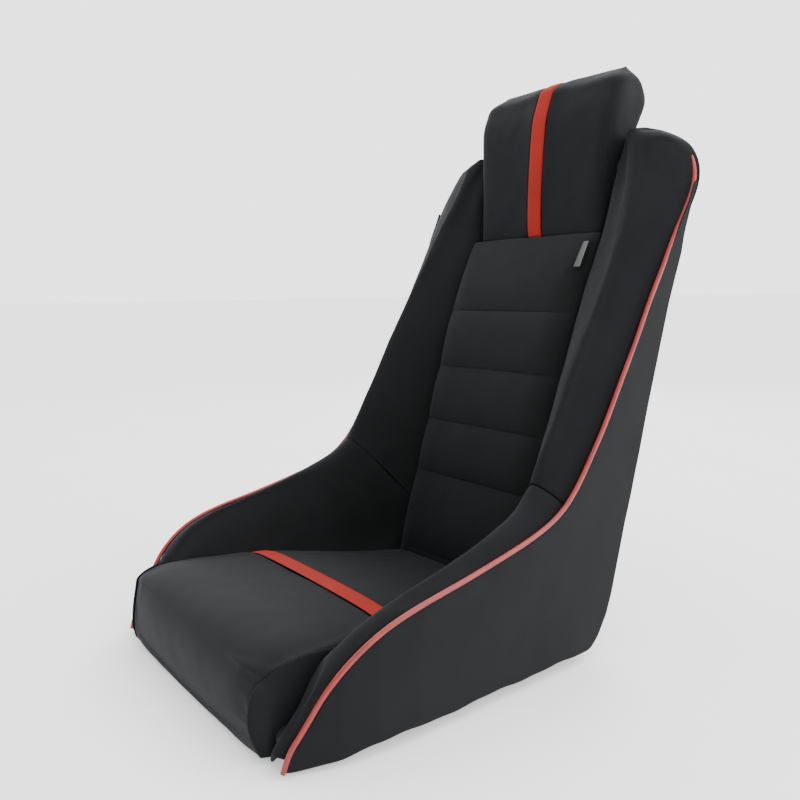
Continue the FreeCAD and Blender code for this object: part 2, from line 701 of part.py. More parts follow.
def make_cushion():
    parts = {}
    body = cushion_side(0)
    within = cushion_plan(COVER + CLEAR)
    skin = body.cut(cushion_side(COVER)).common(within)
    skin = skin.cut(box(-300, 300, -235, 193.9, -50, 41))
    stripe_y0, stripe_y1 = -65.0, -35.0
    gap = 0.15
    parts["cover_cushion_front"] = skin.common(box(-300, 300, -300, stripe_y0 - gap, 0, 200))
    parts["stripe_cushion"] = skin.common(box(-300, 300, stripe_y0, stripe_y1, 0, 200))
    parts["cover_cushion_rear"] = skin.common(box(-300, 300, stripe_y1 + gap, 300, 0, 200))
    ring = cushion_plan(0).cut(cushion_plan(COVER)).common(body)
    right = ring.common(box(100, 300, -262, 195.9, 0, 200))
    parts["facing_cushion_right"] = right
    parts["facing_cushion_left"] = mirrored(right)
    parts["foam_cushion"] = cushion_side(COVER + CLEAR).common(within)
    return parts


# ---- piping ----
def make_piping():
    path = [(226.5, RIM[0][1] - 4, LIP_Z - 4)] + [station[:3] for station in RIM]
    path.append((160, 445, 749))
    cord = rod(path, PIPING_R)
    return {"piping_right": cord, "piping_left": mirrored(cord)}


# ---- assembly ----
def make_all():
    frame, clearance = make_frame()
    parts = dict(frame)
    parts.update(make_rails())
    parts.update(make_webbing())
    parts.update(make_sides())
    parts["cover_rear"] = make_rear_cover()
    for name, first, last in (("thigh", 0, ELBOW), ("bolster", ELBOW, len(RIM) - 1)):
        foam = bolster(first, last, clearance)
        cloth = bolster_cover(first, last, clearance)
        parts["foam_" + name + "_right"] = foam
        parts["foam_" + name + "_left"] = mirrored(foam)
        parts["cover_" + name + "_right"] = cloth
        parts["cover_" + name + "_left"] = mirrored(cloth)
    both = clearance + [mirrored(member) for member in clearance]
    parts.update(make_backrest(both))
    parts.update(make_headrest(both))
    parts.update(make_cushion())
    parts.update(make_piping())
    return parts


for node, shape in make_all().items():
    if shape.isNull() or not shape.isValid():
        print("CHECK", node, "not valid")
    solids = shape.Solids
    size = shape.BoundBox
    print(node, len(solids), "solids", round(shape.Volume / 1000, 1), "cm3",
          [round(v) for v in (size.XMin, size.XMax, size.YMin, size.YMax, size.ZMin, size.ZMax)])
    whole = solids[0] if len(solids) == 1 else Part.makeCompound(solids)
    whole.exportStep("parts/" + node + ".step")
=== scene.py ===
import math

import bpy
import numpy as np
from mathutils import Matrix, Vector, noise


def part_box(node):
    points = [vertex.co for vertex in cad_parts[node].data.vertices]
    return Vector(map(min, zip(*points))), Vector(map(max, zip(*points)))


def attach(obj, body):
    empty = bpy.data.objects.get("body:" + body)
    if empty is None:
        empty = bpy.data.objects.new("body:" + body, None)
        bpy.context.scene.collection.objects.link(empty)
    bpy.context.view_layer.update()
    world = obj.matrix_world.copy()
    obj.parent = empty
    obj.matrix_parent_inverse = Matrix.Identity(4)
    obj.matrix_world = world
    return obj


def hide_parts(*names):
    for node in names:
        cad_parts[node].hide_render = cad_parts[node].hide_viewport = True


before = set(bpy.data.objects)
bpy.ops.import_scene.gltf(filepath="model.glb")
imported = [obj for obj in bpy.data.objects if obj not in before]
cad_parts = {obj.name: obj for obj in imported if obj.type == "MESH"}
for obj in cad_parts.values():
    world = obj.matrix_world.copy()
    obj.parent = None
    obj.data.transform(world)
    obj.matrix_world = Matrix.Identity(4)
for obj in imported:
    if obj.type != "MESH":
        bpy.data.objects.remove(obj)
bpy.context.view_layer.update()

# Padded bucket seat. The seat faces -Y; x = 0 is its middle plane and z = 0 the mounting face.
# Lengths in this script's tables are millimetres, as in the CAD source; MM turns them to metres.
MM = 0.001
SIDES = (("left", -1), ("right", 1))

# ---- dimensions shared with the CAD ----
PIPING_R = 3.2
RIM_SETBACK = 5.5
INSERT_HALF = 137.6
STRIPE_HALF = 15.0
LIP_Z = 14.0
ELBOW = 12
STRIPE_FRONT_Y, STRIPE_REAR_Y = -65.0, -35.0
HEM_Z = 9.0
HIP_X = 265.0           # outer face of the side panels at the hips
SIDE_TUBE_X = 248.5     # side tube from the middle plane at the hips
FRONT_TUBE_X = 216.5    # and at the narrower front
TAPER_Y, TUBE_FRONT_Y = -70.0, -226.0
FOOT_SWELL = 9.0        # how far the thigh bolster's foot stands forward of its piping
SHOULDER_ROLL = 7.0     # how far the cloth swells over the piping at the shoulders
SHOULDER_BACK = 8.0     # and how far the piping lies behind
SHOULDER_IN = 5.0       # and inside it there
# The rim, front to shoulder: x, y, z of the piping, tilt of the section in degrees,
# crest x, crest rise, seam x.
RIM = [
    (232, -236, 20, 90, 216, 0, 207), (235, -227, 34, 90, 218, 1, 206),
    (240, -213, 56, 90, 221, 2, 205), (246, -199, 80, 90, 225, 3, 204),
    (254, -177, 108, 90, 229, 5, 202), (262, -133, 140, 90, 234, 6, 199),
    (265, -80, 158, 90, 235, 7, 192), (265, -20, 170, 90, 233, 9, 184),
    (265, 40, 183, 92, 231, 12, 174), (265, 93, 196, 98, 227, 16, 164),
    (265, 130, 208, 108, 223, 20, 154), (265, 153, 219, 118, 219, 23, 147),
    (265, 171, 232, 127, 217, 27, 142), (265, 190, 251, 135, 215, 33, 139),
    (265, 214, 283, 141, 213, 38, 138), (265, 243, 325, 146, 212, 43, 138),
    (265, 270, 371, 149, 211, 46, 138), (265, 294, 412, 151, 211, 46, 138),
    (265, 316, 451, 152, 213, 44, 138), (265.5, 336, 490, 153, 216, 42, 138),
    (267.5, 356, 529, 154, 218, 39, 138), (271, 380, 580, 156, 215, 36, 138.5),
    (276, 402, 626, 158, 207, 33, 140.5), (276, 418, 660, 161, 199, 30, 142.5),
    (266, 430, 692, 163, 191, 28, 144.5), (247, 437, 717, 165, 183, 26, 146),
    (222, 441, 732, 165, 173, 23, 147), (192, 443, 742, 165, 162, 19, 148),
]
FLUTES = [(212, 74), (250, 198), (276, 284), (303, 375), (332, 469), (388, 594)]
VALLEY = FLUTES + [(397, 626), (406, 660), (412, 692), (417, 720), (421, 745)]
CUSHION_TOP = [(-256, 82), (-246, 103), (-222, 117), (-150, 117), (-60, 109), (50, 92),
               (120, 76), (196, 66)]
CUSHION_NOSE = [(-247, 7), (-254, 28), (-258, 60)]
CUSHION_PLAN = [(172, -264), (196, -246), (198, -205), (196, -150), (188, -80), (180, -20),
                (170, 40), (161, 93), (152, 150), (144, 188), (138, 200)]
LOW_EDGE = [(14, 214), (19, 225), (32, 240), (57, 256), (90, 267.6)]
HIGH_EDGE = [(580, 402.5), (626, 411), (660, 427), (692, 439), (717, 446), (732, 450),
             (742, 452)]
HEAD_SECTIONS = [(594, 137.5, 388), (660, 140, 389), (716, 143, 392), (771, 150, 397),
                 (799, 152, 403), (822, 150, 412), (840, 143, 424), (850, 127, 444)]


# ---- camera ----
def make_camera():
    yaw, pitch, roll = (math.radians(a) for a in (52.22, 7.94, -0.74))
    ahead = Vector((-math.sin(yaw) * math.cos(pitch), math.cos(yaw) * math.cos(pitch),
                    -math.sin(pitch)))
    across = Vector((math.cos(yaw), math.sin(yaw), 0))
    above = across.cross(ahead)
    right = across * math.cos(roll) + above * math.sin(roll)
    up = above * math.cos(roll) - across * math.sin(roll)
    data = bpy.data.cameras.new("camera")
    data.sensor_width = 36.0
    data.lens = 34.875
    camera = bpy.data.objects.new("camera", data)
    turn = Matrix((right, up, -ahead)).transposed().to_4x4()
    camera.matrix_world = Matrix.Translation((0.907, -0.600, 0.508)) @ turn
    bpy.context.scene.collection.objects.link(camera)
    bpy.context.scene.camera = camera


# ---- curves ----
def spline(keys, values, at):
    """Natural cubic spline through values at keys, read at other places."""
    keys, values, at = (np.asarray(a, float) for a in (keys, values, at))
    kept = values.shape[1:]
    values = values.reshape(len(keys), -1)
    count, gap = len(keys), np.diff(keys)
    system, right = np.eye(count), np.zeros_like(values)
    for i in range(1, count - 1):
        system[i, i - 1:i + 2] = gap[i - 1], 2 * (gap[i - 1] + gap[i]), gap[i]
        rise_on = (values[i + 1] - values[i]) / gap[i]
        right[i] = 6 * (rise_on - (values[i] - values[i - 1]) / gap[i - 1])
    bend = np.linalg.solve(system, right)
    cell = np.clip(np.searchsorted(keys, at, side="right") - 1, 0, count - 2)
    after, before = (keys[cell + 1] - at)[:, None], (at - keys[cell])[:, None]
    width = gap[cell][:, None]
    curved = (bend[cell] * after ** 3 + bend[cell + 1] * before ** 3) / (6 * width)
    start = (values[cell] / width - bend[cell] * width / 6) * after
    end = (values[cell + 1] / width - bend[cell + 1] * width / 6) * before
    return (curved + start + end).reshape((len(at),) + kept)


def lengths(points):
    """Distance along a line of points up to each of them."""
    steps = np.linalg.norm(np.diff(points, axis=0), axis=1)
    return np.concatenate([[0.0], np.cumsum(steps)])


def smooth_line(points, count):
    """Evenly spaced points on the smooth curve through some points."""
    points = np.asarray(points, float)
    keys = lengths(points)
    fine = spline(keys, points, np.linspace(0, keys[-1], 8 * count))
    run = lengths(fine)
    even = np.linspace(0, run[-1], count)
    return np.stack([np.interp(even, run, fine[:, k]) for k in range(fine.shape[1])], 1)


def straight(table, at):
    """Second column of a table at values of its first column."""
    first, second = zip(*sorted(table))
    return np.interp(at, first, second)


def cushion_z(y):
    return straight(CUSHION_TOP, y)


def valley_y(z):
    return straight([(z_at, y) for y, z_at in VALLEY], z)


def rear_y(z):
    return 267.5 + 0.272 * z


def edge_y(z):
    if z < LOW_EDGE[-1][0]:
        return straight(LOW_EDGE, z)
    if z > HIGH_EDGE[0][0]:
        return straight(HIGH_EDGE, z)
    return min(242 + 0.285 * z, HIGH_EDGE[0][1])


# ---- meshes ----
def normals(grid):
    along = np.gradient(grid, axis=0)
    across = np.gradient(grid, axis=1)
    found = np.cross(along, across)
    return found / np.maximum(np.linalg.norm(found, axis=2, keepdims=True), 1e-9)


def mesh_object(name, vertices, faces, uvs=None):
    mesh = bpy.data.meshes.new(name)
    mesh.from_pydata([tuple(v) for v in vertices], [], faces)
    mesh.validate()
    if uvs is not None:
        layer = mesh.uv_layers.new(name="cloth")
        flat = np.asarray(uvs)[[loop.vertex_index for loop in mesh.loops]]
        layer.data.foreach_set("uv", flat.astype(np.float32).ravel())
    mesh.polygons.foreach_set("use_smooth", [True] * len(mesh.polygons))
    obj = bpy.data.objects.new(name, mesh)
    bpy.context.scene.collection.objects.link(obj)
    return obj


def grid_faces(rows, cols, offset=0, flip=False):
    faces = []
    for i in range(rows - 1):
        for j in range(cols - 1):
            a = offset + i * cols + j
            quad = (a, a + 1, a + cols + 1, a + cols)
            faces.append(quad[::-1] if flip else quad)
    return faces


def edge_ring(rows, cols):
    ring = [j for j in range(cols)]
    ring += [i * cols + cols - 1 for i in range(1, rows)]
    ring += [(rows - 1) * cols + j for j in range(cols - 2, -1, -1)]
    ring += [i * cols for i in range(rows - 2, 0, -1)]
    return ring


def cloth_uv(grid):
    """Lengths along the cloth in both directions, in metres, so a weave keeps its scale."""
    down = np.cumsum(np.linalg.norm(np.diff(grid, axis=0), axis=2), axis=0)
    down = np.concatenate([np.zeros((1, grid.shape[1])), down])
    over = np.cumsum(np.linalg.norm(np.diff(grid, axis=1), axis=2), axis=1)
    over = np.concatenate([np.zeros((grid.shape[0], 1)), over], axis=1)
    middle = over[:, over.shape[1] // 2][:, None]
    return np.stack([over - middle, down.mean(axis=1, keepdims=True) + 0 * over], 2)


def shell(name, grid, thickness, taper=0.25):
    """Closed pad or cloth: a skin with its inner side, thinner at the borders. Grid is in metres."""
    rows, cols = grid.shape[:2]
    from_row = np.minimum(np.arange(rows), np.arange(rows)[::-1])[:, None] / (0.18 * rows)
    from_col = np.minimum(np.arange(cols), np.arange(cols)[::-1])[None, :] / (0.18 * cols)
    full = np.clip(np.minimum(from_row, from_col), 0, 1)
    depth = thickness * (taper + (1 - taper) * full * (2 - full))
    inner = grid - normals(grid) * depth[:, :, None]
    vertices = np.concatenate([grid.reshape(-1, 3), inner.reshape(-1, 3)])
    count = rows * cols
    faces = grid_faces(rows, cols) + grid_faces(rows, cols, count, flip=True)
    ring = edge_ring(rows, cols)
    for a, b in zip(ring, ring[1:] + ring[:1]):
        faces.append((b, a, a + count, b + count))
    uv = cloth_uv(grid).reshape(-1, 2)
    return mesh_object(name, vertices, faces, np.concatenate([uv, uv]))


def positions(obj):
    flat = np.empty(len(obj.data.vertices) * 3, np.float32)
    obj.data.vertices.foreach_get("co", flat)
    return flat.reshape(-1, 3).astype(float)


def move_to(obj, points):
    obj.data.vertices.foreach_set("co", np.asarray(points, np.float32).ravel())
    obj.data.update()


def inflate(obj, rows, cols, cap, pressure=4.0, held_rows=(), border=1):
    """Cloth under pressure between held borders and seams; no point moves further than cap."""
    before = positions(obj)
    free = np.zeros((rows, cols), bool)
    free[border:rows - border, border:cols - border] = True
    free[list(held_rows), :] = False
    held = [i for i, loose in enumerate(free.ravel()) if not loose]
    held += list(range(rows * cols, 2 * rows * cols))
    obj.vertex_groups.new(name="held").add(held, 1.0, "REPLACE")
    modifier = obj.modifiers.new("swell", "CLOTH")
    settings = modifier.settings
    settings.vertex_group_mass = "held"
    settings.use_pressure = True
    settings.uniform_pressure_force = pressure
    settings.tension_stiffness = settings.compression_stiffness = 12
    settings.bending_stiffness = 0.6
    settings.effector_weights.gravity = 0
    modifier.collision_settings.use_collision = False
    scene = bpy.context.scene
    scene.frame_start, scene.frame_end = 1, 20
    modifier.point_cache.frame_start, modifier.point_cache.frame_end = 1, 20
    for step in range(1, 21):
        scene.frame_set(step)
    swollen = obj.evaluated_get(bpy.context.evaluated_depsgraph_get()).to_mesh()
    after = np.array([v.co for v in swollen.vertices], float)
    obj.modifiers.clear()
    obj.vertex_groups.clear()
    scene.frame_set(1)
    shift = after - before
    size = np.linalg.norm(shift, axis=1, keepdims=True)
    shift *= cap * np.tanh(size / cap) / np.maximum(size, 1e-9)
    move_to(obj, before + shift)
    return obj


def softened(obj, rows, cols, rounds):
    """Evens out a skin's corners; its borders stay where they are."""
    points = positions(obj)
    skin = points[:rows * cols].reshape(rows, cols, 3)
    for _ in range(rounds):
        around = skin[:-2, 1:-1] + skin[2:, 1:-1] + skin[1:-1, :-2] + skin[1:-1, 2:]
        skin[1:-1, 1:-1] = 0.5 * skin[1:-1, 1:-1] + 0.125 * around
    points[:rows * cols] = skin.reshape(-1, 3)
    move_to(obj, points)


def mirrored(obj, name):
    """The same piece for the left side."""
    mesh = obj.data.copy()
    mesh.transform(Matrix.Diagonal((-1, 1, 1, 1)))
    mesh.flip_normals()
    twin = bpy.data.objects.new(name, mesh)
    bpy.context.scene.collection.objects.link(twin)
    return twin


def subdivided(obj, levels=1):
    modifier = obj.modifiers.new("smooth", "SUBSURF")
    modifier.levels = modifier.render_levels = levels
    modifier.boundary_smooth = "PRESERVE_CORNERS"
    depsgraph = bpy.context.evaluated_depsgraph_get()
    mesh = bpy.data.meshes.new_from_object(obj.evaluated_get(depsgraph))
    obj.modifiers.clear()
    obj.data = mesh
    mesh.polygons.foreach_set("use_smooth", [True] * len(mesh.polygons))
    return obj


def relaxed(obj, amount, scale, seed):
    """Slow unevenness of hand-fitted cloth over foam, along the surface's own normals."""
    points = positions(obj)
    flat = np.empty(len(points) * 3, np.float32)
    obj.data.vertex_normals.foreach_get("vector", flat)
    way = flat.reshape(-1, 3)
    origin = Vector((seed * 3.7, seed * 1.3, seed * 2.1))
    wave = [noise.noise(Vector(p) / scale + origin) + 0.45 * noise.noise(Vector(p) / (0.4 * scale) - origin)
            for p in points]
    move_to(obj, points + way * (amount * np.array(wave))[:, None])
    return obj


# ---- materials ----
class Nodes:
    """Small helper that builds one node material."""

    def __init__(self, name):
        self.material = bpy.data.materials.new(name)
        self.material.use_nodes = True
        self.tree = self.material.node_tree
        self.shader = self.tree.nodes["Principled BSDF"]

    def add(self, kind, **values):
        node = self.tree.nodes.new("ShaderNode" + kind)
        for key, value in values.items():
            setattr(node, key, value)
        return node

    def link(self, source, target):
        self.tree.links.new(source, target)

    def set(self, **values):
        for key, value in values.items():
            self.shader.inputs[key.replace("_", " ")].default_value = value

    def math(self, operation, first, second=None):
        node = self.add("Math", operation=operation)
        for socket, value in zip(node.inputs, (first, second)):
            if value is None:
                continue
            if isinstance(value, (int, float)):
                socket.default_value = value
            else:
                self.link(value, socket)
        return node.outputs[0]

    def noise(self, vector, scale, detail=3.0, roughness=0.55):
        node = self.add("TexNoise")
        node.inputs["Scale"].default_value = scale
        node.inputs["Detail"].default_value = detail
        node.inputs["Roughness"].default_value = roughness
        self.link(vector, node.inputs["Vector"])
        return node.outputs["Fac"]

    def ramp(self, fac, stops):
        node = self.add("ValToRGB")
        elements = node.color_ramp.elements
        while len(elements) < len(stops):
            elements.new(0.5)
        for element, (place, colour) in zip(elements, stops):
            element.position = place
            element.color = (*colour, 1)
        self.link(fac, node.inputs["Fac"])
        return node.outputs["Color"]

    def spread(self, value, low, high):
        node = self.add("MapRange")
        node.inputs["To Min"].default_value = low
        node.inputs["To Max"].default_value = high
        self.link(value, node.inputs["Value"])
        return node.outputs["Result"]

    def bump(self, height, strength, distance, normal=None):
        node = self.add("Bump")
        node.inputs["Strength"].default_value = strength
        node.inputs["Distance"].default_value = distance
        self.link(height, node.inputs["Height"])
        if normal is not None:
            self.link(normal, node.inputs["Normal"])
        return node.outputs["Normal"]


def shade(rgb, factor):
    return tuple(min(1.0, c * factor) for c in rgb)


def fabric(name, rgb, thread=0.0011, sheen=0.05, contrast=0.35, tint=(0.8, 0.87, 1.0),
           roughness=(0.74, 0.9)):
    """Plain-woven upholstery cloth: crossing yarns, slubs, fuzz and slow shade variation."""
    n = Nodes(name)
    uv = n.add("UVMap", uv_map="cloth").outputs["UV"]
    split = n.add("SeparateXYZ")
    n.link(uv, split.inputs[0])
    place = n.add("TexCoord").outputs["Object"]
    wander = n.noise(place, 240.0, 2.0)
    turns = 2 * math.pi / (2 * thread)
    drift = n.math("MULTIPLY", n.math("SUBTRACT", wander, 0.5), 1.1)
    warp = n.math("ADD", n.math("MULTIPLY", split.outputs["X"], turns), drift)
    weft = n.math("SUBTRACT", n.math("MULTIPLY", split.outputs["Y"], turns), drift)
    over = n.math("MULTIPLY", n.math("SINE", warp), n.math("SINE", weft))
    yarn_a = n.math("ABSOLUTE", n.math("SINE", warp))
    yarn_b = n.math("ABSOLUTE", n.math("SINE", weft))
    ridges = n.math("MAXIMUM", n.math("MULTIPLY", yarn_a, n.math("ADD", n.math("MULTIPLY", over, 0.5), 0.5)),
                    n.math("MULTIPLY", yarn_b, n.math("SUBTRACT", 0.5, n.math("MULTIPLY", over, 0.5))))
    fuzz = n.noise(place, 1500.0, 4.0, 0.7)
    slub = n.noise(place, 330.0, 3.0)
    cloud = n.noise(place, 11.0, 4.0, 0.6)
    height = n.math("ADD", n.math("MULTIPLY", ridges, 0.7), n.math("MULTIPLY", fuzz, 0.5))
    tone = n.math("ADD", n.math("MULTIPLY", height, 0.45), n.math("MULTIPLY", slub, 0.35))
    tone = n.math("ADD", tone, n.math("MULTIPLY", n.math("SUBTRACT", cloud, 0.5), 0.7))
    colour = n.ramp(tone, [(0.18, shade(rgb, 1 - contrast)), (0.48, rgb), (0.82, shade(rgb, 1 + 1.3 * contrast))])
    n.link(colour, n.shader.inputs["Base Color"])
    n.link(n.spread(slub, *roughness), n.shader.inputs["Roughness"])
    n.set(Specular_IOR_Level=0.17, Sheen_Weight=sheen, Sheen_Roughness=0.42)
    n.shader.inputs["Sheen Tint"].default_value = (*tint, 1)
    normal = n.bump(height, 0.55, 0.0005)
    normal = n.bump(cloud, 0.10, 0.004, normal)
    n.link(normal, n.shader.inputs["Normal"])
    return n.material


def piping_material():
    """Red coated cord cover with a fine leather-like grain, rubbed a little lighter in random patches."""
    n = Nodes("piping_red")
    place = n.add("TexCoord").outputs["Object"]
    grain = n.add("TexVoronoi", feature="SMOOTH_F1")
    grain.inputs["Scale"].default_value = 900.0
    n.link(place, grain.inputs["Vector"])
    wear = n.noise(place, 35.0, 5.0, 0.65)
    colour = n.ramp(wear, [(0.25, (0.17, 0.006, 0.006)), (0.55, (0.25, 0.010, 0.009)),
                           (0.80, (0.33, 0.020, 0.016))])
    n.link(colour, n.shader.inputs["Base Color"])
    n.link(n.spread(wear, 0.30, 0.48), n.shader.inputs["Roughness"])
    n.set(Specular_IOR_Level=0.5, Coat_Weight=0.15, Coat_Roughness=0.35)
    n.link(n.bump(grain.outputs["Distance"], 0.35, 0.0003), n.shader.inputs["Normal"])
    return n.material


def coated_metal(name, rgb, roughness=(0.32, 0.5), metallic=0.0):
    """Sprayed or plated steel: orange peel, dust and rubbed places in random patches."""
    n = Nodes(name)
    place = n.add("TexCoord").outputs["Object"]
    peel = n.noise(place, 420.0, 2.0)
    stain = n.noise(place, 18.0, 6.0, 0.65)
    colour = n.ramp(stain, [(0.3, shade(rgb, 0.75)), (0.55, rgb), (0.8, shade(rgb, 1.35))])
    n.link(colour, n.shader.inputs["Base Color"])
    n.link(n.spread(stain, *roughness), n.shader.inputs["Roughness"])
    n.set(Metallic=metallic)
    n.link(n.bump(peel, 0.25, 0.0006), n.shader.inputs["Normal"])
    return n.material


def hardboard():
    """Pressed brown fibre board with flecks and a faint press screen."""
    n = Nodes("hardboard")
    place = n.add("TexCoord").outputs["Object"]
    stretch = n.add("Mapping")
    stretch.inputs["Scale"].default_value = (1.0, 3.5, 1.0)
    n.link(place, stretch.inputs["Vector"])
    fibre = n.noise(stretch.outputs["Vector"], 260.0, 8.0, 0.7)
    cloud = n.noise(place, 14.0, 3.0)
    tone = n.math("ADD", n.math("MULTIPLY", fibre, 0.7), n.math("MULTIPLY", cloud, 0.3))
    colour = n.ramp(tone, [(0.3, (0.085, 0.043, 0.02)), (0.52, (0.17, 0.092, 0.045)),
                           (0.75, (0.27, 0.16, 0.085))])
    n.link(colour, n.shader.inputs["Base Color"])
    n.link(n.spread(fibre, 0.55, 0.85), n.shader.inputs["Roughness"])
    n.link(n.bump(fibre, 0.4, 0.0005), n.shader.inputs["Normal"])
    return n.material


def floor_material():
    n = Nodes("studio_floor")
    place = n.add("TexCoord").outputs["Object"]
    colour = n.ramp(n.noise(place, 3.0, 2.0), [(0.3, (0.84, 0.84, 0.84)), (0.7, (0.87, 0.87, 0.87))])
    n.link(colour, n.shader.inputs["Base Color"])
    n.set(Roughness=0.9, Specular_IOR_Level=0.1, Emission_Color=(1, 1, 1, 1), Emission_Strength=0.5)
    return n.material


BLACK = (0.0046, 0.0051, 0.0057)
MATERIALS = {
    "cloth": fabric("cloth_black", BLACK),
    "stripe": fabric("cloth_red", (0.27, 0.0125, 0.0075), sheen=0.06, contrast=0.22,
                     tint=(1.0, 0.62, 0.55)),
    "lining": fabric("cloth_lining", (0.012, 0.012, 0.013), thread=0.0020, sheen=0.1),
    "webbing": fabric("webbing", (0.030, 0.030, 0.032), thread=0.0026, sheen=0.1, contrast=0.5),
    "thread": fabric("thread", (0.010, 0.011, 0.012), thread=0.0006, sheen=0.15),
    "tag": fabric("tag_satin", (0.09, 0.09, 0.09), thread=0.0007, sheen=0.2, contrast=0.25,
                  roughness=(0.4, 0.55)),
    "piping": piping_material(),
    "steel": coated_metal("frame_paint", (0.016, 0.017, 0.018)),
    "zinc": coated_metal("zinc", (0.52, 0.53, 0.50), (0.28, 0.5), 1.0),
    "board": hardboard(),
}


def finished(obj, material, body="seat", replaces=()):
    obj.data.materials.clear()
    obj.data.materials.append(MATERIALS[material])
    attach(obj, body)
    if replaces:
        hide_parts(*replaces)
    return obj


# ---- bolsters ----
def section_point(station, x, v):
    tilt = math.radians(station[3])
    return (x, station[1] + v * math.cos(tilt), station[2] + v * math.sin(tilt))


def seam_depth(index):
    station = RIM[index]
    if index < 8:
        return min(cushion_z(station[1]) - 3 - station[2], station[5] - 14)
    near, depth = station[5] - 12.0, -230.0
    for _ in range(40):
        middle = (near + depth) / 2
        _, y, z = section_point(station, 0, middle)
        if y > valley_y(z) - 2 or z < cushion_z(y) - 3:
            depth = middle
        else:
            near = middle
    return depth


def bolster_section(index):
    """Rim to seam, then tucked down out of sight beside the cushion or the fluted panel."""
    rim_x, _, _, _, crest_x, rise, seam_x = RIM[index]
    x0, z0 = RIM[max(index - 1, 0)][0:3:2]
    x1, z1 = RIM[min(index + 1, len(RIM) - 1)][0:3:2]
    turn = 1.0 if index < ELBOW else math.hypot(x1 - x0, z1 - z0) / (z1 - z0)
    first_x = rim_x - (RIM_SETBACK - 2.2) * turn
    depth = seam_depth(index)
    wall, drop = crest_x - seam_x, rise - depth
    outline = [
        (first_x, -2.2),
        (0.45 * first_x + 0.55 * crest_x, 0.72 * rise + 1.0),
        (crest_x, rise),
        (crest_x - 0.30 * wall, rise - 0.16 * drop),
        (crest_x - 0.66 * wall, rise - 0.52 * drop),
        (seam_x + 0.3, depth),
        (seam_x - 5.0, depth - 12),
        (seam_x - 6.5, depth - 34),
    ]
    return [section_point(RIM[index], x, v) for x, v in outline]


def rim_frame(rows, first=0, last=None):
    """Rim points with their direction, the sections' own direction and the way outwards."""
    last = len(RIM) - 1 if last is None else last
    points = np.array([station[:3] for station in RIM], float)
    keys = lengths(points)
    at = np.linspace(keys[first], keys[last], rows)
    rim = spline(keys, points, at)
    tilt = np.radians(spline(keys, [[station[3]] for station in RIM], at)[:, 0])
    ahead = np.gradient(rim, axis=0)
    ahead /= np.linalg.norm(ahead, axis=1, keepdims=True)
    rise = np.stack([0 * tilt, np.cos(tilt), np.sin(tilt)], 1)
    out = np.cross(ahead, rise)
    out /= np.linalg.norm(out, axis=1, keepdims=True)
    over = np.clip((at - keys[18]) / (keys[24] - keys[18]), 0, 1)
    return rim, rise, out, over * over * (3 - 2 * over)


def bolster_grid(first, last, rows, cols):
    """Points of the bolster's skin between two stations, in metres."""
    sections = np.array([smooth_line(bolster_section(i), cols) for i in range(len(RIM))])
    keys = lengths(np.array([station[:3] for station in RIM], float))
    at = np.linspace(keys[first], keys[last], rows)
    grid = spline(keys, sections, at)
    _, rise, out, over = rim_frame(rows, first, last)
    near = np.exp(-(np.arange(cols) / (0.26 * cols)) ** 2)[None, :, None]
    grid += out[:, None, :] * near * (SHOULDER_ROLL * over)[:, None, None]
    first_rows = np.exp(-(np.arange(cols) / 2.5) ** 2)[None, :, None]
    grid -= rise[:, None, :] * first_rows * (SHOULDER_BACK * over)[:, None, None]
    foot = np.exp(-((grid[:, :, 2] - 26) / 22) ** 2) * (1 - np.exp(-(np.arange(cols) / 3) ** 2))
    grid[:, :, 1] -= FOOT_SWELL * foot
    grid[:, :, 2] = np.maximum(grid[:, :, 2], HEM_Z + 0.05 * np.arange(cols)[None, :])
    return grid * MM


def seam_dip(rows, cols, at_rows, at_cols, depth, reach):
    """How far a skin is drawn in beside its seams, in grid steps."""
    row, col = np.mgrid[0:rows, 0:cols]
    away = np.full((rows, cols), 1e9)
    for r in at_rows:
        away = np.minimum(away, abs(row - r))
    for c in at_cols:
        away = np.minimum(away, abs(col - c) * 1.3)
    return depth * np.exp(-(away / reach) ** 2)


def make_bolsters():
    pieces = []
    for name, first, last, rows, nodes in (
            ("thigh", 0, ELBOW, 96, ("cover_thigh", "foam_thigh")),
            ("bolster", ELBOW, len(RIM) - 1, 118, ("cover_bolster", "foam_bolster"))):
        cols = 34
        grid = bolster_grid(first, last, rows, cols)
        elbow_row = rows - 1 if name == "thigh" else 0
        dip = seam_dip(rows, cols, [elbow_row], [], 2.6, 1.6)
        dip += seam_dip(rows, cols, [], [0], 1.2, 1.2)
        grid = grid - normals(grid) * (dip * MM)[:, :, None]
        pad = shell("pad_" + name + "_right", grid, 11 * MM)
        inflate(pad, rows, cols, 4.5 * MM)
        twin = mirrored(pad, "pad_" + name + "_left")
        for side, piece in (("right", pad), ("left", twin)):
            subdivided(piece)
            relaxed(piece, 0.9 * MM, 0.075, 2 if side == "left" else 5)
            covers = [node + "_" + side for node in nodes]
            finished(piece, "cloth", replaces=covers)
            pieces.append(piece)
    return pieces


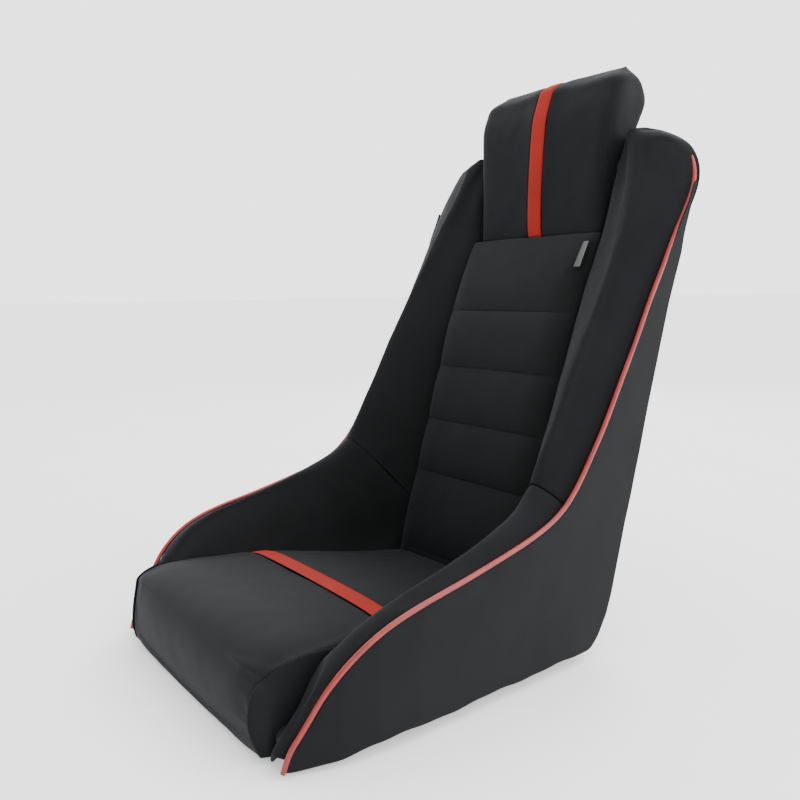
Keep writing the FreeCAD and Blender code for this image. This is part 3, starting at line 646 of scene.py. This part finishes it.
# ---- fluted panel ----
def insert_grid(cols=60):
    """Front of the fluted panel: five padded flutes between sewn seams."""
    line = []
    seams = []
    tuck = [(181, 36), (199, 37), (FLUTES[0][0] - 6, FLUTES[0][1] - 22)]
    spots = tuck + FLUTES
    for (y0, z0), (y1, z1) in zip(spots, spots[1:]):
        run = math.hypot(y1 - y0, z1 - z0)
        steps = max(4, round(run / 5.2))
        seams.append(len(line))
        crown = 0.0 if (y0, z0) in tuck else 8.0
        for k in range(steps):
            t = k / steps
            rise = crown * (1 - abs(2 * t - 1) ** 2.6) - 1.6 * math.exp(-(k / 0.8) ** 2)
            line.append((y0 + (y1 - y0) * t, z0 + (z1 - z0) * t,
                         -rise * (z1 - z0) / run, rise * (y1 - y0) / run))
    seams.append(len(line))
    line.append((*FLUTES[-1], 0.0, 0.0))
    line = np.array(line)
    across = np.linspace(-1, 1, cols)
    across = np.sign(across) * np.abs(across) ** 0.94
    full = 1 - np.abs(across) ** 7
    grid = np.empty((len(line), cols, 3))
    below = np.clip((60 - line[:, 1:2]) / 15, 0, 1)
    grid[:, :, 0] = across * (INSERT_HALF + 2 + 12 * below)
    grid[:, :, 1] = line[:, 0:1] + line[:, 2:3] * full + 5.0 * np.abs(across) ** 22
    grid[:, :, 2] = line[:, 1:2] + line[:, 3:4] * full
    return grid * MM, seams


def make_insert():
    grid, seams = insert_grid()
    rows, cols = grid.shape[:2]
    pad = shell("pad_backrest", grid, 14 * MM)
    inflate(pad, rows, cols, 3.2 * MM, held_rows=seams)
    subdivided(pad)
    relaxed(pad, 0.6 * MM, 0.06, 9)
    finished(pad, "cloth", replaces=("cover_backrest", "foam_backrest"))
    for number, row in enumerate(seams[3:], 1):
        path = grid[row] + np.array([0, -0.4, 0.1]) * MM
        stitch_line("seam_flute_%d" % number, path, replaces=())


# ---- sewing thread ----
def stitch_line(name, path, body="seat", material="thread", length=3.4,
                gap=1.3, radius=0.42, replaces=()):
    """A row of separate sewn stitches lying along a seam. Path in metres."""
    run = lengths(path)
    pitch = (length + gap) * MM
    count = max(1, int(run[-1] / pitch))
    vertices, faces = [], []
    sides, rings = 6, (0.0, 0.12, 0.5, 0.88, 1.0)
    for k in range(count):
        spots = [(k + 0.08 + r * length / (length + gap)) * pitch for r in rings]
        centre = np.stack([np.interp(spots, run, path[:, c]) for c in range(3)], 1)
        ahead = centre[-1] - centre[0]
        ahead /= max(np.linalg.norm(ahead), 1e-9)
        helper = np.array([0, 0, 1.0]) if abs(ahead[2]) < 0.8 else np.array([1.0, 0, 0])
        u = np.cross(ahead, helper)
        u /= np.linalg.norm(u)
        v = np.cross(ahead, u)
        base = len(vertices)
        for point, swell in zip(centre, (0.35, 0.85, 1.0, 0.85, 0.35)):
            for s in range(sides):
                a = 2 * math.pi * s / sides
                vertices.append(point + (u * math.cos(a) + v * math.sin(a)) * radius * swell * MM)
        for ring in range(len(rings) - 1):
            for s in range(sides):
                a, b = base + ring * sides + s, base + ring * sides + (s + 1) % sides
                faces.append((a, b, b + sides, a + sides))
        faces.append(tuple(base + s for s in range(sides))[::-1])
        faces.append(tuple(base + (len(rings) - 1) * sides + s for s in range(sides)))
    obj = mesh_object(name, vertices, faces, np.array(vertices)[:, :2])
    return finished(obj, material, body, replaces)


# ---- headrest ----
def head_ring(z, half, front, rear):
    """Plan of the headrest from its middle at the front round one side to the rear."""
    points = [(0.0, front, z)]
    for radius, edge, towards, turn in ((0.50, front, 1, 0), (0.26, rear, -1, 1)):
        r = min(46 * radius, radius * (rear - front))
        for k in range(7):
            a = math.pi / 2 * (6 - k if turn else k) / 6
            points.append((half - r + r * math.sin(a), edge + towards * r * (1 - math.cos(a)), z))
    return points + [(0.0, rear, z)]


def even_line(points, count):
    points = np.asarray(points, float)
    run = lengths(points)
    even = np.linspace(0, run[-1], count)
    return np.stack([np.interp(even, run, points[:, k]) for k in range(3)], 1)


def head_rows():
    """Height, half width, front and rear of the headrest, bottom to top."""
    keys = [section[0] for section in HEAD_SECTIONS]
    at = np.concatenate([np.linspace(594, 800, 36), np.linspace(804, 849.6, 14)])
    table = spline(keys, np.array(HEAD_SECTIONS, float), at)
    rows = []
    for z, (_, half, front) in zip(at, table):
        rise = min(1.0, max(0.0, (z - 715) / 75))
        rear = rear_y(z) + 9 * rise * rise * (3 - 2 * rise)
        rear = min(rear, 497 - 0.055 * max(0.0, z - 790) ** 1.5)
        rows.append((z, half, front, rear))
    return rows


def head_grid(x0, cols, side_cols):
    """Half of the headrest's skin from x0 outwards; the whole half from the middle if x0 is negative."""
    rows = []
    for z, half, front, rear in head_rows():
        ring = np.array(head_ring(z, half, front, rear))
        fine = even_line(ring, 600)
        keep = fine[fine[:, 0] >= x0]
        rows.append(even_line(keep, side_cols))
    top = rows[-1]
    middle_y = (top[0][1] + top[-1][1]) / 2
    for shrink, lift in ((0.66, 0.9), (0.33, 1.5), (0.02, 1.7)):
        ring = top.copy()
        ring[:, 1] = middle_y + (ring[:, 1] - middle_y) * shrink
        ring[:, 2] += lift
        rows.append(ring)
    return np.array(rows) * MM


def stripe_grid(cols=9):
    """Middle strip of the headrest: up the front, over the top and down the rear."""
    sections = head_rows()
    line = [(front, z) for z, _, front, _ in sections]
    middle = (sections[-1][2] + sections[-1][3]) / 2
    line.append((middle, sections[-1][0] + 1.7))
    line += [(rear, z) for z, _, _, rear in reversed(sections)]
    line = [p for p in line if not (p[0] > middle and p[1] < 742)]
    run = even_line([(0, y, z) for y, z in line], 92)
    across = np.linspace(-STRIPE_HALF, STRIPE_HALF, cols)
    grid = np.repeat(run[:, None, :], cols, axis=1)
    grid[:, :, 0] = across[None, :]
    return grid * MM


def make_headrest():
    grid = head_grid(STRIPE_HALF, 0, 64)
    rows, cols = grid.shape[:2]
    dip = seam_dip(rows, cols, [], [0, cols - 1], 2.2, 1.5)
    dip += seam_dip(rows, cols, [0], [], 4.5, 2.2)
    grid = grid + normals(grid) * (dip * MM)[:, :, None]
    pad = shell("pad_headrest_right", grid[:, ::-1], 10 * MM)
    inflate(pad, rows, cols, 4.5 * MM)
    softened(pad, rows, cols, 10)
    twin = mirrored(pad, "pad_headrest_left")
    for side, piece in (("right", pad), ("left", twin)):
        subdivided(piece)
        relaxed(piece, 1.0 * MM, 0.06, 4 if side == "left" else 7)
        nodes = ["cover_headrest_" + side] + (["foam_headrest"] if side == "right" else [])
        finished(piece, "cloth", replaces=nodes)
    grid = stripe_grid()
    rows, cols = grid.shape[:2]
    edge = np.abs(np.linspace(-1, 1, cols))[None, :] ** 6
    sink = (1.8 * edge + 4.5 * np.exp(-np.arange(rows) / 2.2)[:, None]) * MM
    grid = grid - normals(grid) * -sink[:, :, None]
    stripe = shell("stripe_headrest_cloth", grid[:, ::-1], 3 * MM, taper=0.8)
    subdivided(stripe)
    finished(stripe, "stripe", replaces=("stripe_headrest",))


# ---- cushion ----
def cushion_profile(y0, y1, count):
    """Points y, z of the cushion's top between two depths, or from the nose's foot."""
    line = smooth_line([(0, y, z) for y, z in CUSHION_NOSE + CUSHION_TOP], 900)
    if y0 is None:
        part = line[: int(np.argmax((line[:, 1] > y1) & (line[:, 2] > 90)))]
    else:
        part = line[(line[:, 1] >= y0) & (line[:, 1] <= y1) & (line[:, 2] > 50)]
    return even_line(part, count)[:, 1:]


def plan_half(y):
    return straight([(y_at, x) for x, y_at in CUSHION_PLAN], y)


def edge_roll(z):
    """How far the cushion's sewn edge is drawn in: less towards the hem of the nose."""
    t = np.clip((z - 20) / 75, 0, 1)
    return 2.5 + 8.5 * t * t * (3 - 2 * t)


def cushion_grid(profile, cols=56, swell=3.0):
    across = np.linspace(-1, 1, cols)
    across = np.sign(across) * np.abs(across) ** 0.86
    middle = np.gradient(profile, axis=0)
    middle /= np.linalg.norm(middle, axis=1, keepdims=True)
    out = np.stack([-middle[:, 1], middle[:, 0]], 1)
    half = plan_half(profile[:, 0]) - 1.0
    roll = edge_roll(profile[:, 1])[:, None]
    lift = swell * (1 - across ** 2)[None, :] - roll * (np.abs(across) ** 10)[None, :]
    grid = np.empty((len(profile), cols, 3))
    grid[:, :, 0] = half[:, None] * across[None, :]
    grid[:, :, 1] = profile[:, 0:1] + out[:, 0:1] * lift
    grid[:, :, 2] = profile[:, 1:2] + out[:, 1:2] * lift
    return grid * MM


def make_cushion():
    body = "cushion"
    parts = (("cover_cushion_front", "pad_cushion_front", None, STRIPE_FRONT_Y, 58),
             ("stripe_cushion", "stripe_cushion_cloth", STRIPE_FRONT_Y, STRIPE_REAR_Y, 8),
             ("cover_cushion_rear", "pad_cushion_rear", STRIPE_REAR_Y, 196, 40))
    for node, name, y0, y1, rows in parts:
        grid = cushion_grid(cushion_profile(y0, y1, rows))
        cols = grid.shape[1]
        is_stripe = "stripe" in name
        ends = [r for r, seam in ((0, y0 is not None), (rows - 1, y1 < 190)) if seam]
        dip = seam_dip(rows, cols, ends, [], 1.4 if is_stripe else 2.4, 1.0 if is_stripe else 1.4)
        grid = grid - normals(grid) * -(dip * MM)[:, :, None]
        pad = shell(name, grid[:, ::-1], (3 if is_stripe else 13) * MM)
        if not is_stripe:
            inflate(pad, rows, cols, 5.0 * MM)
        subdivided(pad)
        relaxed(pad, (0.3 if is_stripe else 1.1) * MM, 0.085, 11)
        material, slot = ("stripe", "cloth_red") if is_stripe else ("cloth", "cloth_black")
        finished(pad, material, body, (node,))
    make_facings(body)
    make_cushion_base(body)


def make_facings(body):
    """Side panels of the cushion, sewn to the top along its edge."""
    line = smooth_line([(0, y, z) for y, z in CUSHION_NOSE + CUSHION_TOP], 110)[:, 1:]
    middle = np.gradient(line, axis=0)
    middle /= np.linalg.norm(middle, axis=1, keepdims=True)
    top = line - np.stack([-middle[:, 1], middle[:, 0]], 1) * (edge_roll(line[:, 1]) - 0.8)[:, None]
    inner_y = np.clip(line[:, 0], -206, 188)
    inner = np.stack([inner_y, np.where(line[:, 0] < -150, np.minimum(line[:, 1], 34), 34.0)], 1)
    cols = 22
    grid = np.empty((len(top), cols, 3))
    for j, t in enumerate(np.linspace(0, 1, cols)):
        y = top[:, 0] + (inner[:, 0] - top[:, 0]) * t
        z = top[:, 1] + (inner[:, 1] - top[:, 1]) * t
        bulge = 2.2 * math.sin(math.pi * min(1.0, 1.6 * t))
        turn = min(1.0, t / 0.4)
        turn = turn * turn * (3 - 2 * turn)
        x = plan_half(y) * turn + plan_half(line[:, 0]) * (1 - turn)
        grid[:, j] = np.stack([x - 0.6 + bulge, y, z], 1)
    grid *= MM
    facing = shell("facing_cushion_cloth_right", grid, 3 * MM, taper=0.8)
    twin = mirrored(facing, "facing_cushion_cloth_left")
    for side, piece in (("right", facing), ("left", twin)):
        subdivided(piece)
        relaxed(piece, 0.5 * MM, 0.05, 3)
        finished(piece, "cloth", body, ("facing_cushion_" + side,))
        path = grid[:, 0] * np.array([1 if side == "right" else -1, 1, 1])
        stitch_line("seam_cushion_" + side, path, body)


def make_cushion_base(body):
    """Lining stretched under the cushion between its facings."""
    line = even_line([(0, -246, 8), (0, -238, 12), (0, -235, 36), (0, -206, 34), (0, -200, 31),
                      (0, 148, 31), (0, 154, 41), (0, 192, 42), (0, 194, 60)], 90)[:, 1:]
    cols = 40
    across = np.linspace(-1, 1, cols)
    grid = np.empty((len(line), cols, 3))
    half = plan_half(line[:, 0]) - 2.5
    grid[:, :, 0] = half[:, None] * across[None, :]
    grid[:, :, 1] = line[:, 0:1]
    grid[:, :, 2] = line[:, 1:2] + 0.8 * np.abs(across)[None, :] ** 3
    base = shell("lining_cushion", grid * MM, 2.0 * MM, taper=0.9)
    relaxed(base, 0.7 * MM, 0.04, 6)
    finished(base, "lining", body, ("foam_cushion",))


# ---- side panels and rear cover ----
def wall_x(y, z):
    """Outer face of the side panel: tapers in at the front and flares at the shoulder."""
    plan = straight([(station[1], station[0]) for station in RIM[:7]] + [(460, HIP_X)], y)
    flare = straight([(0, HIP_X)] + [(station[2], station[0]) for station in RIM[18:26]], z)
    return np.where(np.asarray(z) > 452, flare, plan) + 0.6


def make_side_panels():
    last = 23
    rim = smooth_line([station[1:3] for station in RIM[:last + 1]], 170)
    keys = lengths(rim)
    way = np.gradient(rim, axis=0)
    way /= np.linalg.norm(way, axis=1, keepdims=True)
    top = rim + np.stack([way[:, 1], -way[:, 0]], 1) * 3.4
    heel = [(edge_y(z) + 2.0, z) for z in (16, 19, 32, 57, 90)]
    upper = [(edge_y(z) + 2.0, z) for z in np.linspace(120, 655, 40)]
    base = [(-238, 6.0), (-232, 4.0), (-212, 4.5), (-190, 8.0), (-165, 12.0)]
    base += [(y, LIP_Z + 1.2) for y in np.linspace(-140, 205, 30)]
    outline = np.array(base + heel + upper)
    far = even_line(np.concatenate([np.zeros((len(outline), 1)), outline], 1), 170)[:, 1:]
    cols = 40
    grid = np.empty((170, cols, 3))
    for j, t in enumerate(np.linspace(0, 1, cols)):
        spot = top + (far - top) * t
        grid[:, j] = np.stack([wall_x(spot[:, 0], spot[:, 1]), spot[:, 0], spot[:, 1]], 1)
    pucker = 0.5 * np.sin(keys / 9.0)[:, None] * np.exp(-np.arange(cols) / 2.5)[None, :]
    grid[:, :, 0] += pucker
    wave = np.sin(far[:, 0] / 21.0) * 1.1 + np.sin(far[:, 0] / 8.3 + 1.0) * 0.5
    low = np.clip((40 - far[:, 1]) / 20, 0, 1)
    grid[:, :, 2] += (low * wave)[:, None] * np.linspace(0, 1, cols)[None, :] ** 6
    panel = shell("panel_side_right", grid[:, ::-1] * MM, 1.6 * MM, taper=0.9)
    twin = mirrored(panel, "panel_side_left")
    for side, piece in (("right", panel), ("left", twin)):
        subdivided(piece)
        relaxed(piece, 0.8 * MM, 0.11, 8 if side == "left" else 1)
        finished(piece, "cloth", replaces=("cover_side_" + side,))


def rim_x(z):
    if z <= RIM[16][2]:
        return HIP_X
    return float(straight([(station[2], station[0]) for station in RIM[16:]], z))


def rear_section(z, cols):
    half = rim_x(z) - 0.5
    edge = edge_y(z)
    middle = min(rear_y(z), edge + 28)
    bow = middle - edge
    right = [(half, edge), (half - 22, edge + 0.32 * bow),
             (150 + 0.35 * (half - 150), edge + 0.84 * bow), (138, middle)]
    points = [(-x, y, z) for x, y in right] + [(0, middle + 1, z)]
    return smooth_line(points + [(x, y, z) for x, y in right[::-1]], cols)


def make_rear_cover():
    heights = np.concatenate([[14.5, 16, 19, 25, 32, 44, 57, 73, 90], np.linspace(100, 580, 82),
                              np.linspace(588, 742, 30)])
    grid = np.array([rear_section(z, 84) for z in heights])
    cover = shell("cover_rear_cloth", grid[:, ::-1] * MM, 2.0 * MM, taper=0.9)
    subdivided(cover)
    relaxed(cover, 0.8 * MM, 0.10, 12)
    finished(cover, "cloth", replaces=("cover_rear",))


# ---- piping ----
def tube_mesh(name, path, radius, sides=14):
    """Closed tube round a line of points, in metres."""
    way = np.gradient(path, axis=0)
    way /= np.linalg.norm(way, axis=1, keepdims=True)
    side = np.cross(way[0], (1.0, 0, 0))
    side /= np.linalg.norm(side)
    vertices, uvs = [], []
    run = lengths(path)
    for k, (point, ahead) in enumerate(zip(path, way)):
        side = side - ahead * np.dot(side, ahead)
        side /= np.linalg.norm(side)
        other = np.cross(ahead, side)
        for s in range(sides):
            a = 2 * math.pi * s / sides
            vertices.append(point + (side * math.cos(a) + other * math.sin(a)) * radius)
            uvs.append((a * radius, run[k]))
    count = len(path)
    faces = []
    for k in range(count - 1):
        for s in range(sides):
            a, b = k * sides + s, k * sides + (s + 1) % sides
            faces.append((a, b, b + sides, a + sides))
    faces.append(tuple(range(sides))[::-1])
    faces.append(tuple((count - 1) * sides + s for s in range(sides)))
    return mesh_object(name, vertices, faces, np.array(uvs))


def make_piping():
    rim, rise, out, over = rim_frame(500)
    rim = rim - rise * (SHOULDER_BACK * over)[:, None] - out * (SHOULDER_IN * over)[:, None]
    toe = [(231.5, -239.0, 6.0)]
    rear = rim[-1] + np.array([-30.0, 3.0, -9.0])
    path = smooth_line(toe + list(rim[6::6]) + [rear], 520) * MM
    for side, sign in SIDES:
        cord = tube_mesh("piping_cord_" + side, path * np.array([sign, 1, 1]), PIPING_R * MM)
        relaxed(cord, 0.12 * MM, 0.006, 1)
        finished(cord, "piping", replaces=("piping_" + side,))


# ---- carried-over CAD parts ----
def dress_cad():
    for name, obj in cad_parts.items():
        kind = None
        if name.startswith(("tube_", "rail_")):
            kind = "steel"
        elif name.startswith(("nuts_", "hooks_", "rivets_")):
            kind = "zinc"
        elif name.startswith("board_"):
            kind = "board"
        if kind:
            obj.data.materials.clear()
            obj.data.materials.append(MATERIALS[kind])


# ---- webbing ----
def make_webbing():
    """Elastic bands between the hooks, under the cushion and behind the back foam."""
    spans = []
    for number, y in enumerate((-165, -88, -18, 52, 118), 1):
        share = max(0.0, (TAPER_Y - y + 24) / (TAPER_Y - TUBE_FRONT_Y))
        half = SIDE_TUBE_X - (SIDE_TUBE_X - FRONT_TUBE_X) * share - 13
        spans.append(("strap_seat_%d" % number, half, 24, 0.0, (0, y, 29.4), -2.0))
    lean = math.atan(0.272)
    for number, z in enumerate((205, 270, 335, 400), 1):
        spans.append(("strap_back_%d" % number, SIDE_TUBE_X - 13, 20, math.pi / 2 - lean,
                      (0, rear_y(z) - 33, z), 1.5))
    rows, cols = 70, 9
    for name, half, wide, tilt, centre, sag in spans:
        across = np.array([0, math.cos(tilt), math.sin(tilt)])
        out = np.array([0, -math.sin(tilt), math.cos(tilt)]) * (1 if tilt == 0 else -1)
        grid = np.empty((rows, cols, 3))
        for i, x in enumerate(np.linspace(-half, half, rows)):
            for j, s in enumerate(np.linspace(-1, 1, cols)):
                spot = np.array(centre, float) + across * wide * s
                spot += out * sag * (1 - (x / half) ** 2)
                grid[i, j] = spot + np.array([x, 0, 0])
        turned = grid if tilt == 0 else grid[:, ::-1]
        band = shell(name, turned * MM, 2.2 * MM, taper=0.8)
        owner = "straps_seat" if "seat" in name else "straps_back"
        finished(band, "webbing", replaces=(owner,))


# ---- tag ----
def make_tag():
    low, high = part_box("tag_blank")
    middle = (low + high) / 2
    rows, cols = 24, 9
    grid = np.empty((rows, cols, 3))
    for i, t in enumerate(np.linspace(-1, 1, rows)):
        for j, s in enumerate(np.linspace(-1, 1, cols)):
            curl = 1.6 * s * s + 0.9 * t * s
            grid[i, j] = (middle.x + (2.5 + 5.6 * s) * MM,
                          middle.y + (high.y - low.y) / 2 * 0.96 * t - (3.0 + curl) * MM,
                          middle.z + (high.z - low.z) / 2 * 0.96 * t + 9 * MM)
    tag = shell("tag_cloth", grid, 0.7 * MM, taper=0.9)
    subdivided(tag)
    finished(tag, "tag", replaces=("tag_blank",))


# ---- studio ----
def area_light(name, place, target, size, power, colour=(1, 1, 1)):
    data = bpy.data.lights.new(name, "AREA")
    data.size, data.energy, data.color = size, power, colour
    light = bpy.data.objects.new(name, data)
    light.location = place
    aim = Vector(target) - Vector(place)
    light.rotation_euler = aim.to_track_quat("-Z", "Y").to_euler()
    bpy.context.scene.collection.objects.link(light)


def make_studio():
    mesh = bpy.data.meshes.new("floor")
    size = 60.0
    mesh.from_pydata([(-size, -size, 0), (size, -size, 0), (size, size, 0), (-size, size, 0)],
                     [], [(0, 1, 2, 3)])
    floor = bpy.data.objects.new("floor", mesh)
    bpy.context.scene.collection.objects.link(floor)
    mesh.materials.append(floor_material())
    floor.location.z = -0.0005
    world = bpy.data.worlds.new("studio")
    world.use_nodes = True
    background = world.node_tree.nodes["Background"]
    background.inputs["Color"].default_value = (1.0, 1.0, 1.0, 1)
    tree = world.node_tree
    facing = tree.nodes.new("ShaderNodeSeparateXYZ")
    tree.links.new(tree.nodes.new("ShaderNodeTexCoord").outputs["Generated"], facing.inputs[0])
    falloff = tree.nodes.new("ShaderNodeMapRange")
    falloff.interpolation_type = "SMOOTHSTEP"
    for key, value in (("From Min", -0.75), ("From Max", 0.15), ("To Min", 1.25), ("To Max", 2.8)):
        falloff.inputs[key].default_value = value
    tree.links.new(facing.outputs["Y"], falloff.inputs["Value"])
    tree.links.new(falloff.outputs["Result"], background.inputs["Strength"])
    bpy.context.scene.world = world
    centre = (0, 0.1, 0.4)
    area_light("top", (0.2, 1.3, 2.6), centre, 2.2, 22)
    area_light("side", (2.3, 1.5, 1.3), centre, 1.8, 28, (0.96, 0.98, 1.0))
    area_light("back", (-1.6, 2.2, 1.8), centre, 1.8, 20)


make_camera()
make_studio()
make_bolsters()
make_insert()
make_headrest()
make_cushion()
make_side_panels()
make_rear_cover()
make_piping()
make_webbing()
make_tag()
dress_cad()
